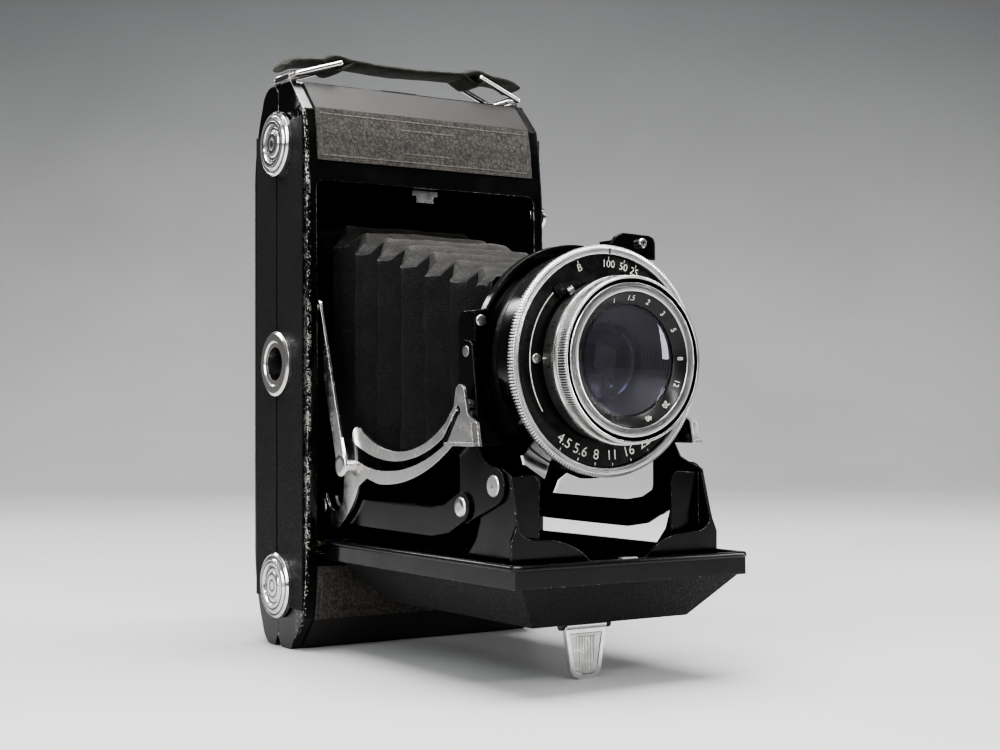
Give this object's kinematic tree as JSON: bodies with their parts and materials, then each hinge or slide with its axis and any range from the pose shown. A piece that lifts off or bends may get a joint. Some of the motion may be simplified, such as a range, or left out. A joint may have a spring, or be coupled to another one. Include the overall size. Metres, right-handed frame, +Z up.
{
  "type": "folding roll-film camera",
  "caption": "Folding roll-film camera standing open on its end, with drop bed, pleated bellows, self-erecting braces, ring-set shutter, kick-stand foot and carrying strap.",
  "frame": {"origin": "middle of the flat lower end face of the front shell, at the floor", "axes": "+X across the body to the side with the winding key, +Y to the back (the lens faces -Y), +Z up along the body to the strap"},
  "size_m": [0.0878, 0.1326, 0.1686],
  "materials": {
    "black_enamel": "satin",
    "black_leather": "grained",
    "bellows_leather": "matt, dusty along the folds",
    "strap_leather": "worn",
    "chrome": "polished, slightly pitted",
    "steel": "satin",
    "brass": "worn",
    "lens_glass": "polished",
    "red_window": "polished",
    "black_plastic": "smooth"
  },
  "bodies": {
    "camera_body": {"body_shell": "black_enamel", "body_leather": "black_leather", "film_gate": "black_enamel", "back_hinge_pin": "steel", "tripod_socket": "chrome", "bed_pivots": "brass", "door_catch": "chrome", "strap_lugs": "chrome", "finder_base": "chrome", "bellows": "bellows_leather"},
    "back": {"back_cover": "black_enamel", "back_leather": "black_leather", "pressure_plate": "black_enamel", "pressure_spring": "steel", "window_glass": "red_window", "window_frame": "black_enamel"},
    "window_slide": {"window_cover": "black_enamel"},
    "latch": {"back_latch": "chrome"},
    "supply_spool": {"supply_spool": "black_plastic"},
    "winder": {"winding_key": "chrome", "take_up_spool": "black_plastic"},
    "spool_knob_upper": {"spool_knob_upper": "chrome"},
    "spool_knob_lower": {"spool_knob_lower": "chrome"},
    "roller_upper": {"film_roller_upper": "steel"},
    "roller_lower": {"film_roller_lower": "steel"},
    "door_button": {"door_button": "chrome"},
    "finder_front": {"finder_front": "chrome"},
    "finder_rear": {"finder_rear": "chrome"},
    "strap": {"strap": "strap_leather"},
    "ring_left": {"ring_left": "chrome"},
    "ring_right": {"ring_right": "chrome"},
    "bed": {"bed_plate": "black_enamel", "bed_leather": "black_leather", "bed_bracket": "black_enamel", "foot_hinge": "chrome"},
    "foot": {"foot_plate": "chrome", "foot_grip": "black_enamel"},
    "legs": {"legs": "black_enamel", "leg_rivets": "steel"},
    "arms": {"arms": "black_enamel", "arm_rivets": "steel"},
    "rods": {"rods": "chrome", "rod_rivets": "steel"},
    "struts": {"struts": "chrome"},
    "standard": {"lens_plate": "black_enamel", "wrist_rivets": "steel", "shutter_case": "black_enamel", "shutter_face": "black_enamel", "lens_barrel": "black_enamel", "inner_glass": "lens_glass", "cable_socket": "chrome", "shutter_screws": "steel", "finder_shoe": "black_enamel"},
    "aperture": {"aperture_ring": "black_enamel", "iris_leaves": "steel"},
    "speed_ring": {"speed_ring": "chrome"},
    "focus": {"focus_ring": "chrome", "front_glass": "lens_glass"},
    "release_lever": {"release_lever": "chrome"},
    "mode_slider": {"mode_slider": "chrome"}
  },
  "joints": [
    {"name": "bed_fold", "type": "hinge", "parent": "camera_body", "child": "bed", "pos_m": [0, -0.0104, 0.0295], "axis": [-1, 0, 0], "range_deg": [0, 90], "deforming": ["bellows"]},
    {"name": "leg_fold", "type": "hinge", "parent": "bed", "child": "legs", "pos_m": [0, -0.0939, 0.0483], "axis": [-1, 0, 0], "range_deg": [0, 70.1]},
    {"name": "lens_plate_level", "type": "hinge", "parent": "legs", "child": "standard", "pos_m": [0, -0.0819, 0.0803], "axis": [-1, 0, 0], "range_deg": [-160.1, 0]},
    {"name": "arm_fold", "type": "hinge", "parent": "camera_body", "child": "arms", "pos_m": [0, -0.0069, 0.0398], "axis": [-1, 0, 0], "range_deg": [0, 88.6]},
    {"name": "rod_swing", "type": "hinge", "parent": "camera_body", "child": "rods", "pos_m": [0, -0.0111, 0.0948], "axis": [-1, 0, 0], "range_deg": [-34.5, 0]},
    {"name": "strut_fold", "type": "hinge", "parent": "rods", "child": "struts", "pos_m": [0, -0.0259, 0.0515], "axis": [-1, 0, 0], "range_deg": [0, 114.5]},
    {"name": "foot_fold", "type": "hinge", "parent": "bed", "child": "foot", "pos_m": [0, -0.0884, 0.0133], "axis": [1, 0, 0], "range_deg": [0, 88]},
    {"name": "back_open", "type": "hinge", "parent": "camera_body", "child": "back", "pos_m": [0, 0.0048, 0.0014], "axis": [-1, 0, 0], "range_deg": [0, 90]},
    {"name": "window_cover_slide", "type": "slide", "parent": "back", "child": "window_slide", "axis": [1, 0, 0], "range_m": [0, 0.0115]},
    {"name": "back_latch_slide", "type": "slide", "parent": "camera_body", "child": "latch", "axis": [1, 0, 0], "range_m": [0, 0.005]},
    {"name": "winding_turn", "type": "hinge", "parent": "camera_body", "child": "winder", "pos_m": [0.034, 0.0036, 0.0173], "axis": [1, 0, 0], "continuous": true},
    {"name": "supply_turn", "type": "hinge", "parent": "camera_body", "child": "supply_spool", "pos_m": [0, 0.0036, 0.1417], "axis": [1, 0, 0], "continuous": true},
    {"name": "upper_roller_turn", "type": "hinge", "parent": "camera_body", "child": "roller_upper", "pos_m": [0, 0.0139, 0.1305], "axis": [1, 0, 0], "continuous": true},
    {"name": "lower_roller_turn", "type": "hinge", "parent": "camera_body", "child": "roller_lower", "pos_m": [0, 0.0139, 0.0285], "axis": [1, 0, 0], "continuous": true},
    {"name": "upper_knob_pull", "type": "slide", "parent": "camera_body", "child": "spool_knob_upper", "axis": [-1, 0, 0], "range_m": [0, 0.0045]},
    {"name": "lower_knob_pull", "type": "slide", "parent": "camera_body", "child": "spool_knob_lower", "axis": [-1, 0, 0], "range_m": [0, 0.0045]},
    {"name": "door_button_press", "type": "slide", "parent": "camera_body", "child": "door_button", "axis": [-1, 0, 0], "range_m": [0, 0.001]},
    {"name": "finder_front_fold", "type": "hinge", "parent": "camera_body", "child": "finder_front", "pos_m": [0.0407, -0.0107, 0.0795], "axis": [0, 0, -1], "range_deg": [0, 90]},
    {"name": "finder_rear_fold", "type": "hinge", "parent": "camera_body", "child": "finder_rear", "pos_m": [0.0407, 0.003, 0.0795], "axis": [0, 0, -1], "range_deg": [0, 90]},
    {"name": "strap_lift", "type": "slide", "parent": "camera_body", "child": "strap", "axis": [0, 0, 1], "range_m": [0, 0.0015]},
    {"name": "ring_left_swing", "type": "hinge", "parent": "camera_body", "child": "ring_left", "pos_m": [-0.037, 0.0036, 0.1609], "axis": [0, -1, 0], "range_deg": [0, 12]},
    {"name": "ring_right_swing", "type": "hinge", "parent": "camera_body", "child": "ring_right", "pos_m": [0.037, 0.0036, 0.1609], "axis": [0, 1, 0], "range_deg": [0, 12]},
    {"name": "speed_ring_turn", "type": "hinge", "parent": "standard", "child": "speed_ring", "pos_m": [0, -0.0944, 0.0779], "axis": [0, -1, 0], "range_deg": [-20, 55]},
    {"name": "aperture_turn", "type": "hinge", "parent": "standard", "child": "aperture", "pos_m": [0, -0.0944, 0.0779], "axis": [0, -1, 0], "range_deg": [-35, 35]},
    {"name": "focus_turn", "type": "hinge", "parent": "standard", "child": "focus", "pos_m": [0, -0.0944, 0.0779], "axis": [0, -1, 0], "range_deg": [-30, 150]},
    {"name": "release_lever_press", "type": "hinge", "parent": "standard", "child": "release_lever", "pos_m": [0, -0.0944, 0.0779], "axis": [0, -1, 0], "range_deg": [0, 12]},
    {"name": "mode_slider_move", "type": "hinge", "parent": "standard", "child": "mode_slider", "pos_m": [0, -0.0944, 0.0779], "axis": [0, -1, 0], "range_deg": [0, 12]}
  ],
  "couplings": [
    {"joint": "leg_fold", "follows": "bed_fold", "ratio": 0.77778},
    {"joint": "lens_plate_level", "follows": "bed_fold", "ratio": -1.7778},
    {"joint": "arm_fold", "follows": "bed_fold", "ratio": 0.98288},
    {"joint": "rod_swing", "follows": "bed_fold", "ratio": -0.38222},
    {"joint": "strut_fold", "follows": "bed_fold", "ratio": 1.2711},
    {"joint": "ring_left_swing", "follows": "strap_lift", "rad_per_m": 74},
    {"joint": "ring_right_swing", "follows": "strap_lift", "rad_per_m": 76.2}
  ]
}
